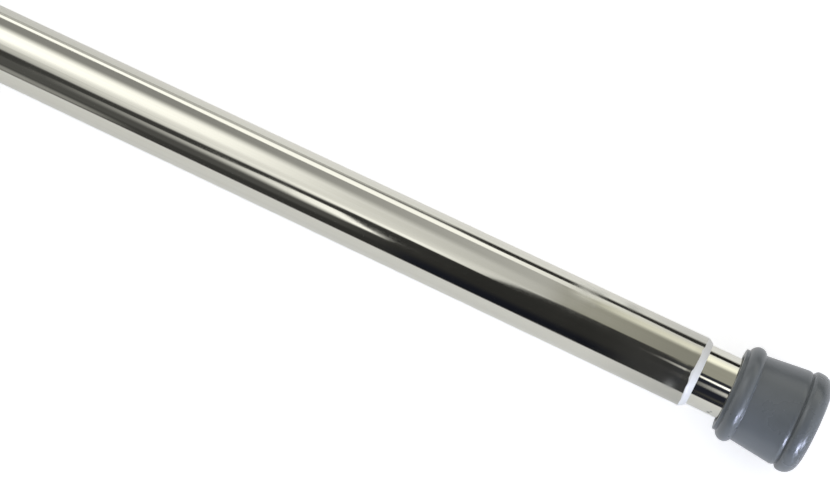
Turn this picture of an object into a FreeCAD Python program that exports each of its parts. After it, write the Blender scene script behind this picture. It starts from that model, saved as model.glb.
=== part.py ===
import FreeCAD, Part
import os
import re
import Sketcher

# Spring tension rod: a wide tube with a plastic collar in its mouth, a narrow tube that slides out of
# it, a soft foot on each end, and inside them a sprung plunger with an eccentric cam that locks the
# two tubes together when the narrow one is twisted.
# The rod lies along X. The origin is the middle of the wide tube's wall face, and +X points to the
# narrow tube's foot. Each piece is drawn from its own left end and then placed along the rod.

SIZES = {
    # Tubes
    "outer_diameter": 22.0,
    "outer_wall": 0.6,
    "outer_length": 364.0,
    "inner_wall": 0.6,
    "between_tubes": 0.85,
    "tube_edge_round": 0.2,
    "shown_length": 9.85,
    # Collar in the mouth of the wide tube
    "collar_sleeve": 25.0,
    "collar_nose": 1.8,
    "collar_land": 0.3,
    "collar_step": 0.1,
    "collar_tip_wall": 0.25,
    "collar_nose_round": 0.8,
    # Feet, measured from the wall face and outwards from the tube they fit
    "foot_length": 26.95,
    "foot_floor": 4.5,
    "foot_end_height": 6.1,
    "foot_end_width": 6.85,
    "foot_end_wall_round": 4.3,
    "foot_end_tube_round": 2.2,
    "foot_groove_height": 4.8,
    "foot_groove_width": 0.2,
    "foot_flare_height": 5.45,
    "foot_shoulder_round": 0.55,
    "foot_waist_height": 3.65,
    "foot_hem_height": 5.37,
    "foot_hem_width": 5.2,
    "foot_hem_waist_round": 2.5,
    "foot_hem_mouth_round": 2.6,
    "foot_lip_length": 1.0,
    "foot_lip_height": 3.3,
    "foot_lip_round": 0.3,
    "foot_mouth_gap": 1.05,
    "foot_mouth_depth": 2.8,
    "foot_mouth_taper": 0.8,
    "disc_thickness": 1.0,
    # Bush in the inner end of the narrow tube
    "bush_shoulder": 4.0,
    "bush_plug": 20.0,
    "bush_pin_diameter": 2.0,
    "bush_pin_length": 2.6,
    "bush_pin_place": 10.0,
    # Plunger
    "bar_across": 6.0,
    "bar_socket": 14.0,
    "thread_diameter": 5.0,
    "thread_length": 8.0,
    "nut_across": 8.0,
    "nut_thickness": 5.0,
    "stop_washer_diameter": 12.0,
    "stop_washer_thickness": 1.2,
    "washer_margin": 1.95,
    "seat_washer_thickness": 0.8,
    # Spring
    "spring_length": 80.0,
    "spring_margin": 2.15,
    "wire_diameter": 1.6,
    "spring_turns": 9.0,
    # Hub and cam
    "hub_length": 16.0,
    "hub_rim": 4.0,
    "hub_waist_depth": 1.2,
    "hub_pin_diameter": 2.5,
    "hub_pin_recess": 0.85,
    "hub_pin_place": 8.0,
    "cam_offset": 0.7,
    "cam_gap": 1.0,
    "cam_length": 11.8,
    "cam_slot": 2.0,
    "cam_groove_width": 1.2,
    "cam_groove_depth": 0.5,
    "cam_groove_count": 11.0,
    "cam_ring_wall": 3.4,
    "cam_washer_thickness": 1.0,
    "cam_screw_diameter": 3.0,
    "cam_screw_length": 9.0,
    "cam_head_diameter": 5.6,
    "cam_head_height": 2.2,
    "cam_head_round": 0.6,
    "cam_drive_across": 2.0,
    "cam_drive_depth": 1.2,
    "cam_clear_of_foot": 11.25,
    # Clearances
    "seat_gap": 0.02,
    "turning_gap": 0.06,
    "sliding_gap": 0.1,
    "tube_gap": 0.25,
    "end_gap": 0.1,
}

# Radii and places that several pieces share, written in terms of the sizes
OUTER_RADIUS = "(outer_diameter / 2)"
OUTER_BORE = "(outer_diameter / 2 - outer_wall)"
INNER_RADIUS = f"({OUTER_BORE} - between_tubes)"
INNER_BORE = f"({INNER_RADIUS} - inner_wall)"
GUIDED_RADIUS = f"({OUTER_BORE} - tube_gap)"
CAM_RADIUS = f"({OUTER_BORE} - cam_gap)"
JOURNAL_RADIUS = f"({CAM_RADIUS} - cam_ring_wall)"
SEAT_HOLE = "(bar_across / 2 * sqrt(2) + sliding_gap)"
SEAT_RADIUS = f"({GUIDED_RADIUS} - washer_margin)"
SPRING_RADIUS = f"({GUIDED_RADIUS} - spring_margin)"
PIN_HOLE = "bush_pin_diameter + 2 * seat_gap"
HUB_PIN_HOLE = "hub_pin_diameter + 2 * seat_gap"

TUBE_START = "(foot_floor + disc_thickness)"
MOUTH = f"({TUBE_START} + outer_length)"
INNER_WALL_FACE = f"({MOUTH} + collar_nose + shown_length + foot_length)"
INNER_END = f"({INNER_WALL_FACE} - foot_floor - disc_thickness - end_gap / 2)"

# The sprung lock, from the screw next to the wide tube's foot up to the bush in the narrow tube
SCREW_START = f"({TUBE_START} + cam_clear_of_foot)"
CAM_WASHER_START = f"({SCREW_START} + cam_head_height)"
JOURNAL_START = f"({CAM_WASHER_START} + cam_washer_thickness)"
JOURNAL_LENGTH = "(cam_length + 2 * end_gap)"
HUB_START = f"({JOURNAL_START} + {JOURNAL_LENGTH})"
HUB_FACE = f"({HUB_START} + hub_length)"
BAR_START = f"({HUB_FACE} - bar_socket)"
SPRING_START = f"({HUB_FACE} + seat_washer_thickness)"
SPRING_END = f"({SPRING_START} + spring_length)"
BUSH_FACE = f"({SPRING_END} + seat_washer_thickness + bush_shoulder)"
STOP_FACE = f"({BUSH_FACE} + bush_plug + end_gap)"
BAR_LENGTH = f"({STOP_FACE} - {BAR_START})"
INNER_LENGTH = f"({INNER_END} - {BUSH_FACE})"

# Two lengths closer than this, in millimetres, count as the same
SAME_PLACE = 1e-4

doc = FreeCAD.newDocument("spring_tension_rod")
sheet = doc.addObject("Spreadsheet::Sheet", "sizes")
for row, (alias, value) in enumerate(SIZES.items(), start=1):
    sheet.set(f"A{row}", alias)
    sheet.set(f"B{row}", str(value))
    sheet.setAlias(f"B{row}", alias)
doc.recompute()


def formula(text):
    """The text with each size's name pointed at the sheet."""
    return re.sub(r"[a-z_]+", lambda word: "sizes." * (word.group() in SIZES) + word.group(), text)


def number(text):
    """What a formula comes to now, in millimetres."""
    return float(sheet.evalExpression(formula(text)))


def origin_part(body, role):
    """One plane or axis of a body's own origin."""
    return next(item for item in body.Origin.OriginFeatures if item.Role == role)


def new_body(name, place="0", turned=0, up="0"):
    """An empty body at its place along the rod, turned about the upright axis and raised off centre."""
    body = doc.addObject("PartDesign::Body", name)
    body.Label = name
    body.Placement.Rotation = FreeCAD.Rotation(FreeCAD.Vector(0, 0, 1), turned)
    body.setExpression("Placement.Base.x", formula(place))
    body.setExpression("Placement.Base.z", formula(up))
    return body


def pin_point(sketch, line, kind, text):
    """Hold the start of a line at a formula's distance from the origin, or on the axis if it is zero."""
    if text == "0":
        axis = -2 if kind == "DistanceX" else -1
        sketch.addConstraint(Sketcher.Constraint("PointOnObject", line, 1, axis))
        return
    index = sketch.addConstraint(Sketcher.Constraint(kind, -1, 1, line, 1, number(text)))
    sketch.setExpression(f"Constraints[{index}]", formula(text))


def new_sketch(body, name, plane, start="0"):
    """A sketch on one of the body's planes, moved along the plane's normal."""
    sketch = body.newObject("Sketcher::SketchObject", name)
    sketch.AttachmentSupport = [(origin_part(body, plane), "")]
    sketch.MapMode = "FlatFace"
    sketch.setExpression("AttachmentOffset.Base.z", formula(start))
    return sketch


def outline(body, name, corners, plane="XY_Plane", start="0"):
    """A closed outline of straight lines whose corners are bound to the sheet."""
    sketch = new_sketch(body, name, plane, start)
    points = [FreeCAD.Vector(number(across), number(up), 0) for across, up in corners]
    count = len(points)
    for line in range(count):
        sketch.addGeometry(Part.LineSegment(points[line], points[(line + 1) % count]), False)
    for line in range(count):
        sketch.addConstraint(Sketcher.Constraint("Coincident", line, 2, (line + 1) % count, 1))
    for line, (across, up) in enumerate(corners):
        pin_point(sketch, line, "DistanceX", across)
        pin_point(sketch, line, "DistanceY", up)
    return sketch


def circle(body, name, diameter, plane="YZ_Plane", start="0", across="0", up="0"):
    """A circle bound to the sheet, by default square to the rod."""
    sketch = new_sketch(body, name, plane, start)
    middle = FreeCAD.Vector(number(across), number(up), 0)
    normal = FreeCAD.Vector(0, 0, 1)
    sketch.addGeometry(Part.Circle(middle, normal, number(diameter) / 2), False)
    index = sketch.addConstraint(Sketcher.Constraint("Diameter", 0, number(diameter)))
    sketch.setExpression(f"Constraints[{index}]", formula(diameter))
    for kind, axis, text in (("DistanceX", -2, across), ("DistanceY", -1, up)):
        if text == "0":
            sketch.addConstraint(Sketcher.Constraint("PointOnObject", 0, 3, axis))
        else:
            index = sketch.addConstraint(Sketcher.Constraint(kind, -1, 1, 0, 3, number(text)))
            sketch.setExpression(f"Constraints[{index}]", formula(text))
    return sketch


def square(body, name, across, start="0"):
    """A square outline about the rod's axis."""
    low, high = f"-({across}) / 2", f"({across}) / 2"
    corners = [(low, low), (high, low), (high, high), (low, high)]
    return outline(body, name, corners, "YZ_Plane", start)


def hexagon(body, name, across, plane="YZ_Plane", up="0"):
    """A hexagon outline about the rod's axis, or raised off it."""
    flat, corner = f"({across}) / 2", f"({across}) / sqrt(3)"
    corners = [
        ("0", f"{up} + {corner}"),
        (flat, f"{up} + {corner} / 2"),
        (flat, f"{up} - {corner} / 2"),
        ("0", f"{up} - {corner}"),
        (f"-{flat}", f"{up} - {corner} / 2"),
        (f"-{flat}", f"{up} + {corner} / 2"),
    ]
    return outline(body, name, corners, plane)


def revolve(body, name, corners, cut=False):
    """Turn an outline about the rod's axis, to add a round form or to cut one away."""
    sketch = outline(body, f"{name}_outline", corners)
    feature = body.newObject("PartDesign::Groove" if cut else "PartDesign::Revolution", name)
    feature.Profile = sketch
    feature.ReferenceAxis = (sketch, ["H_Axis"])
    feature.Angle = 360
    return feature


def pad(body, name, sketch, length):
    """Grow a sketch along its normal."""
    feature = body.newObject("PartDesign::Pad", name)
    feature.Profile = sketch
    feature.setExpression("Length", formula(length))
    return feature


def pocket(body, name, sketch, length, forward=False, both_ways=False):
    """Cut a sketch away against its normal, along it, or half the length each way."""
    feature = body.newObject("PartDesign::Pocket", name)
    feature.Profile = sketch
    feature.Reversed = forward
    feature.Midplane = both_ways
    feature.setExpression("Length", formula(length))
    return feature


def rim_name(feature, place, radius):
    """The round edge of a feature at a place along the axis, with a given radius."""
    for index, edge in enumerate(feature.Shape.Edges, start=1):
        curve = edge.Curve
        if not isinstance(curve, Part.Circle):
            continue
        if max(abs(curve.Radius - radius), abs(curve.Center.x - place)) < SAME_PLACE:
            return f"Edge{index}"
    raise ValueError(f"{feature.Name} has no rim of radius {radius} at {place}")


def round_rims(body, name, rims, radius):
    """Round the edges given as (place, radius) formulas."""
    doc.recompute()
    base = body.Tip
    names = [rim_name(base, number(place), number(rim)) for place, rim in rims]
    feature = body.newObject("PartDesign::Fillet", name)
    feature.Base = (base, names)
    feature.setExpression("Radius", formula(radius))
    return feature


def rectangle(left, right, low, high):
    """Corners of an upright rectangle, given as formulas."""
    return [(left, low), (right, low), (right, high), (left, high)]


def tube(name, place, length, radius, bore):
    """A drawn tube with deburred ends."""
    body = new_body(name, place)
    revolve(body, "wall", rectangle("0", length, bore, radius))
    round_rims(body, "ends", [("0", radius), (length, radius)], "tube_edge_round")
    return body


def washer(name, place, radius, hole, thickness, up="0"):
    """A flat washer, or a disc where the hole's radius is nought."""
    body = new_body(name, place, up=up)
    revolve(body, "plate", rectangle("0", thickness, hole, radius))
    return body


def foot(name, place, tube_radius, grip_gap, faces_back=False):
    """A soft foot: end bead on the wall, groove, flared waist, hem bead and thin lip round the mouth."""
    body = new_body(name, place, 180 if faces_back else 0)
    end_radius = f"({tube_radius} + foot_end_height)"
    hem_radius = f"({tube_radius} + foot_hem_height)"
    flare_radius = f"({tube_radius} + foot_flare_height)"
    groove_radius = f"({tube_radius} + foot_groove_height)"
    lip_radius = f"({tube_radius} + foot_lip_height)"
    mouth_radius = f"({tube_radius} + foot_mouth_gap)"
    grip_radius = f"({tube_radius} + {grip_gap})"
    hem_end = "foot_length - foot_lip_length"
    hem_start = f"{hem_end} - foot_hem_width"
    hem_middle = f"{hem_start} + foot_hem_waist_round"
    flare_start = "foot_end_width + foot_groove_width"
    mouth_start = "foot_length - foot_mouth_depth"

    revolve(body, "end_bead", rectangle("0", "foot_end_width", "0", end_radius))
    round_rims(body, "end_bead_wall_round", [("0", end_radius)], "foot_end_wall_round")
    round_rims(body, "end_bead_tube_round", [("foot_end_width", end_radius)], "foot_end_tube_round")
    revolve(body, "hem_bead", rectangle(hem_start, hem_end, "0", hem_radius))
    round_rims(body, "hem_bead_waist_round", [(hem_start, hem_radius)], "foot_hem_waist_round")
    round_rims(body, "hem_bead_mouth_round", [(hem_end, hem_radius)], "foot_hem_mouth_round")
    waist = [
        ("foot_end_width / 2", "0"),
        (hem_middle, "0"),
        (hem_middle, f"{tube_radius} + foot_waist_height"),
        (flare_start, flare_radius),
        (flare_start, groove_radius),
        ("foot_end_width / 2", groove_radius),
    ]
    revolve(body, "waist", waist)
    round_rims(body, "waist_shoulder_round", [(flare_start, flare_radius)], "foot_shoulder_round")
    revolve(body, "lip", rectangle(hem_middle, "foot_length", "0", lip_radius))
    bore = [
        ("foot_floor", "0"),
        ("foot_length + foot_floor", "0"),
        ("foot_length + foot_floor", mouth_radius),
        (mouth_start, mouth_radius),
        (f"{mouth_start} - foot_mouth_taper", grip_radius),
        ("foot_floor", grip_radius),
    ]
    revolve(body, "bore", bore, cut=True)
    lip_rims = [("foot_length", lip_radius), ("foot_length", mouth_radius)]
    round_rims(body, "lip_round", lip_rims, "foot_lip_round")
    return body


def collar():
    """The white collar: a sleeve inside the wide tube's mouth and a nose that tapers to the narrow one."""
    body = new_body("guide_collar", f"{MOUTH} - collar_sleeve")
    bore = f"({INNER_RADIUS} + sliding_gap)"
    tip = "collar_sleeve + collar_nose"
    land_radius = f"({OUTER_RADIUS} - collar_step)"
    corners = [
        ("0", bore),
        (tip, bore),
        (tip, f"{bore} + collar_tip_wall"),
        ("collar_sleeve + collar_land", land_radius),
        ("collar_sleeve", land_radius),
        ("collar_sleeve", f"{OUTER_BORE} - seat_gap"),
        ("0", f"{OUTER_BORE} - seat_gap"),
    ]
    revolve(body, "sleeve_and_nose", corners)
    round_rims(body, "nose_round", [("collar_sleeve + collar_land", land_radius)], "collar_nose_round")
    return body


def inner_tube():
    """The narrow tube, cross-drilled near its inner end for the bush's pins."""
    body = tube("inner_tube", BUSH_FACE, INNER_LENGTH, INNER_RADIUS, INNER_BORE)
    hole = circle(body, "pin_hole_outline", PIN_HOLE, "XZ_Plane", across="bush_pin_place")
    pocket(body, "pin_hole", hole, "outer_diameter", both_ways=True)
    return body


def spindle_bush():
    """Shouldered plug in the narrow tube's inner end, with a square bore that the plunger slides in."""
    body = new_body("spindle_bush", f"{BUSH_FACE} - bush_shoulder")
    length = "(bush_shoulder + bush_plug)"
    corners = [
        ("0", "0"),
        (length, "0"),
        (length, f"{INNER_BORE} - seat_gap"),
        ("bush_shoulder", f"{INNER_BORE} - seat_gap"),
        ("bush_shoulder", GUIDED_RADIUS),
        ("0", GUIDED_RADIUS),
    ]
    revolve(body, "plug", corners)
    opening = square(body, "square_bore_outline", "(bar_across + 2 * sliding_gap)")
    pocket(body, "square_bore", opening, length, forward=True)
    place = "bush_shoulder + bush_pin_place"
    hole = circle(body, "pin_hole_outline", PIN_HOLE, "XZ_Plane", across=place)
    pocket(body, "pin_hole", hole, "outer_diameter", both_ways=True)
    return body


def bush_pin(name, turned):
    """A short pin through the narrow tube's wall into the bush, flush with the tube."""
    body = new_body(name, f"{BUSH_FACE} + bush_pin_place", turned)
    foot_of_pin = f"{INNER_RADIUS} - seat_gap - bush_pin_length"
    section = circle(body, "pin_outline", "bush_pin_diameter", "XZ_Plane", start=foot_of_pin)
    pad(body, "pin", section, "bush_pin_length")
    return body


def plunger_rod():
    """Square bar from the hub's socket through the bush, with a threaded end for the stop nut."""
    body = new_body("plunger_rod", BAR_START)
    pad(body, "bar", square(body, "bar_outline", "bar_across"), BAR_LENGTH)
    thread = circle(body, "thread_outline", "thread_diameter", start=BAR_LENGTH)
    pad(body, "thread", thread, "thread_length")
    place = "hub_pin_place - hub_length + bar_socket"
    hole = circle(body, "pin_hole_outline", HUB_PIN_HOLE, "XZ_Plane", across=place)
    pocket(body, "pin_hole", hole, "2 * bar_across", both_ways=True)
    return body


def stop_nut():
    """Lock nut that holds the spring's preload through the stop washer."""
    body = new_body("stop_nut", f"{STOP_FACE} + stop_washer_thickness")
    pad(body, "hexagon", hexagon(body, "hexagon_outline", "nut_across"), "nut_thickness")
    hole = circle(body, "hole_outline", "thread_diameter + 2 * seat_gap")
    pocket(body, "hole", hole, "nut_thickness", forward=True)
    return body


def spring():
    """Open-wound compression spring with ground ends, between the hub's washer and the bush's.

    The wire has six sides, as wide as a round wire of the same section, which keeps the coil light.
    """
    body = new_body("tension_spring", SPRING_START)
    middle = f"({SPRING_RADIUS} - wire_diameter / 2)"
    wire = hexagon(body, "wire_outline", "wire_diameter * sqrt(pi / (2 * sqrt(3)))", "XY_Plane", middle)
    coil = body.newObject("PartDesign::AdditiveHelix", "coil")
    coil.Profile = wire
    coil.ReferenceAxis = (wire, ["H_Axis"])
    coil.Mode = "height-turns-angle"
    coil.setExpression("Height", formula("spring_length"))
    coil.setExpression("Turns", formula("spring_turns"))
    left = circle(body, "left_grinding_outline", "2 * outer_diameter")
    pocket(body, "left_grinding", left, "wire_diameter")
    right = circle(body, "right_grinding_outline", "2 * outer_diameter", start="spring_length")
    pocket(body, "right_grinding", right, "wire_diameter", forward=True)
    return body


def cam_hub():
    """Hub that carries the plunger's end, with the cam's off-centre journal standing out of it."""
    body = new_body("cam_hub", JOURNAL_START)
    left, right = JOURNAL_LENGTH, f"({JOURNAL_LENGTH} + hub_length)"
    waist_radius = f"({GUIDED_RADIUS} - hub_waist_depth)"
    corners = [
        (left, "0"),
        (right, "0"),
        (right, GUIDED_RADIUS),
        (f"{right} - hub_rim", GUIDED_RADIUS),
        (f"{right} - hub_rim - hub_waist_depth", waist_radius),
        (f"{left} + hub_rim + hub_waist_depth", waist_radius),
        (f"{left} + hub_rim", GUIDED_RADIUS),
        (left, GUIDED_RADIUS),
    ]
    revolve(body, "hub", corners)
    journal = circle(body, "journal_outline", f"2 * {JOURNAL_RADIUS}", up="cam_offset")
    pad(body, "journal", journal, f"{left} + hub_rim / 2")
    socket = square(body, "socket_outline", "(bar_across + 2 * seat_gap)", start=right)
    pocket(body, "socket", socket, "bar_socket + seat_gap")
    screw = circle(body, "screw_hole_outline", "cam_screw_diameter + 2 * seat_gap", up="cam_offset")
    pocket(body, "screw_hole", screw, "cam_screw_length - cam_washer_thickness + end_gap", forward=True)
    hole = circle(body, "pin_hole_outline", HUB_PIN_HOLE, "XZ_Plane", across=f"{left} + hub_pin_place")
    pocket(body, "pin_hole", hole, "outer_diameter", both_ways=True)
    return body


def hub_pin():
    """Rolled spring pin across the hub and the bar."""
    body = new_body("hub_pin", f"{HUB_START} + hub_pin_place")
    half_length = f"({GUIDED_RADIUS} - hub_pin_recess)"
    section = circle(body, "pin_outline", "hub_pin_diameter", "XZ_Plane", start=f"-{half_length}")
    pad(body, "pin", section, f"2 * {half_length}")
    hollow = circle(body, "hollow_outline", "hub_pin_diameter / 2", "XZ_Plane")
    pocket(body, "hollow", hollow, "2 * outer_diameter", both_ways=True)
    return body


def cam_ring():
    """Split ring, round outside but bored off-centre, so that it shifts sideways as the journal turns."""
    body = new_body("cam_ring", f"{JOURNAL_START} + end_gap")
    revolve(body, "ring", rectangle("0", "cam_length", "0", CAM_RADIUS))
    bore = circle(body, "bore_outline", f"2 * ({JOURNAL_RADIUS} + turning_gap)", up="cam_offset")
    pocket(body, "bore", bore, "cam_length", forward=True)
    half_slot = "cam_slot / 2"
    slot_corners = [
        (f"-{half_slot}", "cam_offset"),
        (half_slot, "cam_offset"),
        (half_slot, "outer_diameter"),
        (f"-{half_slot}", "outer_diameter"),
    ]
    slot = outline(body, "slot_outline", slot_corners, "YZ_Plane")
    pocket(body, "slot", slot, "cam_length", forward=True)
    groove_corners = [
        ("-cam_groove_width / 2", "-outer_diameter"),
        ("cam_groove_width / 2", "-outer_diameter"),
        ("cam_groove_width / 2", f"-({CAM_RADIUS} - cam_groove_depth)"),
        ("-cam_groove_width / 2", f"-({CAM_RADIUS} - cam_groove_depth)"),
    ]
    groove_outline = outline(body, "grip_groove_outline", groove_corners, "YZ_Plane")
    groove = pocket(body, "grip_groove", groove_outline, "cam_length", forward=True)
    grooves = body.newObject("PartDesign::PolarPattern", "grip_grooves")
    grooves.Originals = [groove]
    grooves.Axis = (origin_part(body, "X_Axis"), [""])
    grooves.Angle = 360
    grooves.setExpression("Occurrences", formula("cam_groove_count"))
    body.Tip = grooves
    return body


def cam_screw():
    """Screw with a hexagon socket that keeps the washer and the ring on the journal."""
    body = new_body("cam_screw", SCREW_START, up="cam_offset")
    head_radius = "cam_head_diameter / 2"
    corners = [
        ("0", "0"),
        ("cam_head_height + cam_screw_length", "0"),
        ("cam_head_height + cam_screw_length", "cam_screw_diameter / 2"),
        ("cam_head_height", "cam_screw_diameter / 2"),
        ("cam_head_height", head_radius),
        ("0", head_radius),
    ]
    revolve(body, "screw", corners)
    round_rims(body, "head_round", [("0", head_radius)], "cam_head_round")
    drive = hexagon(body, "drive_outline", "cam_drive_across")
    pocket(body, "drive", drive, "cam_drive_depth", forward=True)
    return body


# Wide tube's assembly
tube("outer_tube", TUBE_START, "outer_length", OUTER_RADIUS, OUTER_BORE)
collar()
foot("outer_foot", "0", OUTER_RADIUS, "seat_gap")
washer("outer_foot_disc", "foot_floor", OUTER_RADIUS, "0", "disc_thickness")

# Narrow tube's foot
foot("inner_foot", INNER_WALL_FACE, INNER_RADIUS, "turning_gap", faces_back=True)
washer("inner_foot_disc", f"{INNER_WALL_FACE} - {TUBE_START}", INNER_RADIUS, "0", "disc_thickness")

# Narrow tube's assembly
inner_tube()
spindle_bush()
bush_pin("bush_pin_front", 0)
bush_pin("bush_pin_back", 180)
washer("bush_seat_washer", SPRING_END, SEAT_RADIUS, SEAT_HOLE, "seat_washer_thickness")
spring()

# Plunger
plunger_rod()
stop_hole = "thread_diameter / 2 + seat_gap"
washer("stop_washer", STOP_FACE, "stop_washer_diameter / 2", stop_hole, "stop_washer_thickness")
stop_nut()
washer("hub_seat_washer", HUB_FACE, SEAT_RADIUS, SEAT_HOLE, "seat_washer_thickness")
cam_hub()
hub_pin()
screw_hole = "cam_screw_diameter / 2 + sliding_gap"
washer("cam_washer", CAM_WASHER_START, SEAT_RADIUS, screw_hole, "cam_washer_thickness", "cam_offset")
cam_screw()

# Cam
cam_ring()

doc.recompute()
for item in doc.Objects:
    if "Invalid" in item.State or "Error" in item.State:
        raise RuntimeError(f"{item.Label} failed: {item.State}")

os.makedirs("parts", exist_ok=True)
for body in doc.findObjects("PartDesign::Body"):
    if body.Shape.isNull() or not body.Shape.isValid() or len(body.Shape.Solids) != 1:
        raise RuntimeError(f"{body.Label} isn't one valid solid")
    body.Shape.exportStep(f"parts/{body.Label}.step")
    print(f"{body.Label}: {body.Shape.Volume:.1f} mm3")
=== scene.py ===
import math

import bmesh
import bpy
from mathutils import Matrix, Vector, noise


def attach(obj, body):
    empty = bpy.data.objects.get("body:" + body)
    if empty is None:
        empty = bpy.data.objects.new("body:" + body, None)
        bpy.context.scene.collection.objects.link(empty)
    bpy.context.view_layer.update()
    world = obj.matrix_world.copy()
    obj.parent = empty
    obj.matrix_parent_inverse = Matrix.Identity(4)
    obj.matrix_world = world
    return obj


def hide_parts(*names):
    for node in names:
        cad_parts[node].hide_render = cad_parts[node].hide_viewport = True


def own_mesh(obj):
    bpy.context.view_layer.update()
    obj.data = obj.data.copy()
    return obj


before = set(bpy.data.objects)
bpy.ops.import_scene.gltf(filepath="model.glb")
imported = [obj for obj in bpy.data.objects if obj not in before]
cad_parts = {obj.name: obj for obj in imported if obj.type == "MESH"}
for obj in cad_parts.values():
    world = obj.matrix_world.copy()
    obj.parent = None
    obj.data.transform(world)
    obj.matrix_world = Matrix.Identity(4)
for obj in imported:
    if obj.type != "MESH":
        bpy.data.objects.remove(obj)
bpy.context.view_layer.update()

# Sizes in millimetres, the same as the solids have
MM = 0.001
OUTER_RADIUS = 11.0
WALL = 0.6
BETWEEN_TUBES = 0.85
OUTER_BORE = OUTER_RADIUS - WALL
INNER_RADIUS = OUTER_BORE - BETWEEN_TUBES
INNER_BORE = INNER_RADIUS - WALL
EDGE_ROUND = 0.2

SEAT_GAP = 0.02
TURNING_GAP = 0.06
SLIDING_GAP = 0.1
END_PLAY = 0.05

FOOT_LENGTH = 26.95
FOOT_FLOOR = 4.5
FOOT_END_HEIGHT = 6.1
FOOT_TAPER_END = 23.35
DISC_THICKNESS = 1.0

COLLAR_SLEEVE = 25.0
COLLAR_NOSE = 1.8
COLLAR_TIP_WALL = 0.25
COLLAR_BORE = INNER_RADIUS + SLIDING_GAP

OUTER_LENGTH = 364.0
SHOWN_LENGTH = 9.85
OUTER_START = FOOT_FLOOR + DISC_THICKNESS
MOUTH = OUTER_START + OUTER_LENGTH
COLLAR_START = MOUTH - COLLAR_SLEEVE
COLLAR_TIP = MOUTH + COLLAR_NOSE
NARROW_WALL_FACE = COLLAR_TIP + SHOWN_LENGTH + FOOT_LENGTH

SPRING_START = 48.75
SPRING_END = SPRING_START + 80.0
SPRING_RADIUS = 8.0
SPRING_TURNS = 9
WIRE_RADIUS = 0.8
SEAT_WASHER = 0.8
BUSH_SHOULDER = 4.0
INNER_START = SPRING_END + SEAT_WASHER + BUSH_SHOULDER
INNER_END = NARROW_WALL_FACE - FOOT_FLOOR - DISC_THICKNESS - END_PLAY

# A foot's outline from the middle of its wall face round to the floor of its bore: distance from the
# wall, height over the tube's radius, and how far each corner is rounded back. None is the rod's axis.
FOOT_OUTLINE = [
    (0.0, None, 0.0),
    (0.0, FOOT_END_HEIGHT, 4.3),
    (6.05, FOOT_END_HEIGHT, 1.15),
    (6.35, 4.84, 0.08),
    (6.53, 4.84, 0.03),
    (6.57, 4.90, 0.03),
    (7.31, 5.42, 0.84),
    (20.974, 3.904, 0.12),
    (21.647, 5.37, 1.45),
    (25.464, 5.37, 2.1),
    (25.895, 3.3, 0.08),
    (FOOT_LENGTH, 3.3, 0.28),
    (FOOT_LENGTH, 1.05, 0.4),
    (24.15, 1.05, 0.2),
]

# How far the narrow foot leans along the rod for each millimetre off the axis, and the distance from
# the wall by which it leans in full
CROOKED_SEAT = 0.02
CROOKED_FROM = 5.0

# How far the wide tube's darkened end reaches, and how much darker and how filmy it is
DARK_END_LENGTH = 36.0
DARK_END_DEPTH = 0.26
DARK_END_FILM = 0.10

# How far the wide tube's mouth flares, over what length, and where extra rings hold its shading
MOUTH_FLARE = 0.03
FLARE_LENGTH = 2.3
FLARE_GUARD = 0.5

# How finely the pieces are cut: round the rod, along a tube, and across a rounded corner
AROUND = 160
TUBE_CUTS = 90
ROUND_STEPS = 8
TUBE_EDGE_STEPS = 4
TUBE_BORE_STEPS = 2
WIRE_SIDES = 14
STEPS_A_TURN = 48

# Corners are found within NEAR of their place, and points within DOUBLE of each other are one
NEAR = 0.01 * MM
DOUBLE = 0.0005 * MM
SHARP_ANGLE = math.radians(35)


# Colours and nodes


def colour(code):
    """Linear colour, with alpha, of an sRGB hex value."""
    parts = [int(code[place : place + 2], 16) / 255 for place in (1, 3, 5)]
    curve = [part / 12.92 if part <= 0.04045 else ((part + 0.055) / 1.055) ** 2.4 for part in parts]
    return (*curve, 1.0)


def add(tree, kind, links=None, **settings):
    """Add a node, with its settings, its sockets' values and what is linked to them."""
    node = tree.nodes.new(kind)
    for name, value in settings.items():
        setattr(node, name, value)
    for socket, value in (links or {}).items():
        if isinstance(value, bpy.types.NodeSocket):
            tree.links.new(value, node.inputs[socket])
        else:
            node.inputs[socket].default_value = value
    return node


def new_material(name):
    """An empty material and its node tree."""
    material = bpy.data.materials.new(name)
    material.use_nodes = True
    material.node_tree.nodes.clear()
    return material, material.node_tree


def close(material, shader):
    """Link a shader to the material's output."""
    add(material.node_tree, "ShaderNodeOutputMaterial", {"Surface": shader.outputs[0]})
    return material


def per_mm(size):
    """The scale at which a texture's feature has a size in millimetres."""
    return 1 / (size * MM)


# Materials


# The dark tint that the tube marks and the darkened tube end mix towards
DARKENING_TINT = "#1E1D1B"
GRAIN_STRETCH = 0.006


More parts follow.
